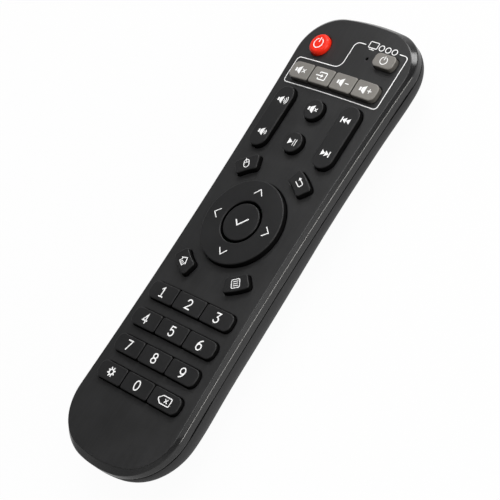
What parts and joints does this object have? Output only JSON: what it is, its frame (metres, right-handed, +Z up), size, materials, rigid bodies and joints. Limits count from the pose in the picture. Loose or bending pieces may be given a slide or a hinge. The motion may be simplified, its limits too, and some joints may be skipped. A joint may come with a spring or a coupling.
{
  "type": "tv box remote control",
  "caption": "Slim waisted handset with crowned face, direction ring, rocker, number and grey television keys, rounded back shell and sliding battery door",
  "frame": {"origin": "on the surface the back lies on, under the middle of the case", "axes": "+Z up through the key face, +Y toward the infra-red end, +X to the right of the keys"},
  "size_m": [0.0536, 0.1808, 0.022],
  "materials": {
    "face_plastic": "fine matt",
    "back_plastic": "fine matt",
    "window_plastic": "polished",
    "board": "solder mask",
    "mat_rubber": "matt",
    "red_key": "satin",
    "grey_key": "satin",
    "black_key": "satin",
    "led_lens": "clear",
    "cell_can": "wrapped",
    "contact_metal": "nickel plated",
    "component_black": "moulded",
    "resonator_can": "drawn"
  },
  "bodies": {
    "housing": {"upper_case": "face_plastic", "lower_case": "back_plastic", "ir_window": "window_plastic", "circuit_board": "board", "keypad_mat": "mat_rubber", "indicator_led": "led_lens", "ir_led": "led_lens", "left_battery": "cell_can", "right_battery": "cell_can", "positive_plate": "contact_metal", "negative_plate": "contact_metal", "bridge_plate": "contact_metal", "negative_coil": "contact_metal", "bridge_coil": "contact_metal", "controller_chip": "component_black", "capacitor": "component_black", "resonator": "resonator_can", "transistor": "component_black"},
    "power_key": {"power_key": "red_key"},
    "tv_power_key": {"tv_power_key": "grey_key"},
    "tv_mute_key": {"tv_mute_key": "grey_key"},
    "tv_source_key": {"tv_source_key": "grey_key"},
    "tv_volume_down_key": {"tv_volume_down_key": "grey_key"},
    "tv_volume_up_key": {"tv_volume_up_key": "grey_key"},
    "mute_key": {"mute_key": "black_key"},
    "play_pause_key": {"play_pause_key": "black_key"},
    "mouse_key": {"mouse_key": "black_key"},
    "back_key": {"back_key": "black_key"},
    "home_key": {"home_key": "black_key"},
    "menu_key": {"menu_key": "black_key"},
    "ok_key": {"ok_key": "black_key"},
    "key_1": {"key_1": "black_key"},
    "key_2": {"key_2": "black_key"},
    "key_3": {"key_3": "black_key"},
    "key_4": {"key_4": "black_key"},
    "key_5": {"key_5": "black_key"},
    "key_6": {"key_6": "black_key"},
    "key_7": {"key_7": "black_key"},
    "key_8": {"key_8": "black_key"},
    "key_9": {"key_9": "black_key"},
    "setup_key": {"setup_key": "black_key"},
    "key_0": {"key_0": "black_key"},
    "delete_key": {"delete_key": "black_key"},
    "volume_rocker": {"volume_rocker": "black_key"},
    "track_rocker": {"track_rocker": "black_key"},
    "dpad_skirt": {"dpad_skirt": "mat_rubber"},
    "dpad_ring": {"dpad_ring": "black_key"},
    "battery_door": {"battery_door": "back_plastic"}
  },
  "joints": [
    {"name": "power_key_press", "type": "slide", "parent": "housing", "child": "power_key", "axis": [0, 0, -1], "range_m": [0, 0.0007], "stiffness_N_per_m": 300, "springref_m": -0.0005},
    {"name": "tv_power_key_press", "type": "slide", "parent": "housing", "child": "tv_power_key", "axis": [0, 0, -1], "range_m": [0, 0.0007], "stiffness_N_per_m": 300, "springref_m": -0.0005},
    {"name": "tv_mute_key_press", "type": "slide", "parent": "housing", "child": "tv_mute_key", "axis": [0, 0, -1], "range_m": [0, 0.0007], "stiffness_N_per_m": 300, "springref_m": -0.0005},
    {"name": "tv_source_key_press", "type": "slide", "parent": "housing", "child": "tv_source_key", "axis": [0, 0, -1], "range_m": [0, 0.0007], "stiffness_N_per_m": 300, "springref_m": -0.0005},
    {"name": "tv_volume_down_key_press", "type": "slide", "parent": "housing", "child": "tv_volume_down_key", "axis": [0, 0, -1], "range_m": [0, 0.0007], "stiffness_N_per_m": 300, "springref_m": -0.0005},
    {"name": "tv_volume_up_key_press", "type": "slide", "parent": "housing", "child": "tv_volume_up_key", "axis": [0, 0, -1], "range_m": [0, 0.0007], "stiffness_N_per_m": 300, "springref_m": -0.0005},
    {"name": "mute_key_press", "type": "slide", "parent": "housing", "child": "mute_key", "axis": [0, 0, -1], "range_m": [0, 0.0007], "stiffness_N_per_m": 300, "springref_m": -0.0005},
    {"name": "play_pause_key_press", "type": "slide", "parent": "housing", "child": "play_pause_key", "axis": [0, 0, -1], "range_m": [0, 0.0007], "stiffness_N_per_m": 300, "springref_m": -0.0005},
    {"name": "mouse_key_press", "type": "slide", "parent": "housing", "child": "mouse_key", "axis": [0, 0, -1], "range_m": [0, 0.0007], "stiffness_N_per_m": 300, "springref_m": -0.0005},
    {"name": "back_key_press", "type": "slide", "parent": "housing", "child": "back_key", "axis": [0, 0, -1], "range_m": [0, 0.0007], "stiffness_N_per_m": 300, "springref_m": -0.0005},
    {"name": "home_key_press", "type": "slide", "parent": "housing", "child": "home_key", "axis": [0, 0, -1], "range_m": [0, 0.0007], "stiffness_N_per_m": 300, "springref_m": -0.0005},
    {"name": "menu_key_press", "type": "slide", "parent": "housing", "child": "menu_key", "axis": [0, 0, -1], "range_m": [0, 0.0007], "stiffness_N_per_m": 300, "springref_m": -0.0005},
    {"name": "ok_key_press", "type": "slide", "parent": "housing", "child": "ok_key", "axis": [0, 0, -1], "range_m": [0, 0.0007], "stiffness_N_per_m": 300, "springref_m": -0.0005},
    {"name": "key_1_press", "type": "slide", "parent": "housing", "child": "key_1", "axis": [0, 0, -1], "range_m": [0, 0.0007], "stiffness_N_per_m": 300, "springref_m": -0.0005},
    {"name": "key_2_press", "type": "slide", "parent": "housing", "child": "key_2", "axis": [0, 0, -1], "range_m": [0, 0.0007], "stiffness_N_per_m": 300, "springref_m": -0.0005},
    {"name": "key_3_press", "type": "slide", "parent": "housing", "child": "key_3", "axis": [0, 0, -1], "range_m": [0, 0.0007], "stiffness_N_per_m": 300, "springref_m": -0.0005},
    {"name": "key_4_press", "type": "slide", "parent": "housing", "child": "key_4", "axis": [0, 0, -1], "range_m": [0, 0.0007], "stiffness_N_per_m": 300, "springref_m": -0.0005},
    {"name": "key_5_press", "type": "slide", "parent": "housing", "child": "key_5", "axis": [0, 0, -1], "range_m": [0, 0.0007], "stiffness_N_per_m": 300, "springref_m": -0.0005},
    {"name": "key_6_press", "type": "slide", "parent": "housing", "child": "key_6", "axis": [0, 0, -1], "range_m": [0, 0.0007], "stiffness_N_per_m": 300, "springref_m": -0.0005},
    {"name": "key_7_press", "type": "slide", "parent": "housing", "child": "key_7", "axis": [0, 0, -1], "range_m": [0, 0.0007], "stiffness_N_per_m": 300, "springref_m": -0.0005},
    {"name": "key_8_press", "type": "slide", "parent": "housing", "child": "key_8", "axis": [0, 0, -1], "range_m": [0, 0.0007], "stiffness_N_per_m": 300, "springref_m": -0.0005},
    {"name": "key_9_press", "type": "slide", "parent": "housing", "child": "key_9", "axis": [0, 0, -1], "range_m": [0, 0.0007], "stiffness_N_per_m": 300, "springref_m": -0.0005},
    {"name": "setup_key_press", "type": "slide", "parent": "housing", "child": "setup_key", "axis": [0, 0, -1], "range_m": [0, 0.0007], "stiffness_N_per_m": 300, "springref_m": -0.0005},
    {"name": "key_0_press", "type": "slide", "parent": "housing", "child": "key_0", "axis": [0, 0, -1], "range_m": [0, 0.0007], "stiffness_N_per_m": 300, "springref_m": -0.0005},
    {"name": "delete_key_press", "type": "slide", "parent": "housing", "child": "delete_key", "axis": [0, 0, -1], "range_m": [0, 0.0007], "stiffness_N_per_m": 300, "springref_m": -0.0005},
    {"name": "volume_rocker_tilt", "type": "hinge", "parent": "housing", "child": "volume_rocker", "pos_m": [-0.0155, 0.0447, 0.01695], "axis": [1, 0, 0], "range_deg": [-3, 3], "stiffness_Nm_per_rad": 0.02},
    {"name": "track_rocker_tilt", "type": "hinge", "parent": "housing", "child": "track_rocker", "pos_m": [0.0155, 0.0447, 0.01695], "axis": [1, 0, 0], "range_deg": [-3, 3], "stiffness_Nm_per_rad": 0.02},
    {"name": "dpad_tilt_updown", "type": "hinge", "parent": "housing", "child": "dpad_skirt", "pos_m": [0, 0.0047, 0.0163], "axis": [1, 0, 0], "range_deg": [-1.6, 1.6], "stiffness_Nm_per_rad": 0.08},
    {"name": "dpad_tilt_sideways", "type": "hinge", "parent": "dpad_skirt", "child": "dpad_ring", "pos_m": [0, 0.0047, 0.0163], "axis": [0, 1, 0], "range_deg": [-1.6, 1.6], "stiffness_Nm_per_rad": 0.08},
    {"name": "battery_door_slide", "type": "slide", "parent": "housing", "child": "battery_door", "axis": [0, -1, 0], "range_m": [0, 0.06]}
  ]
}
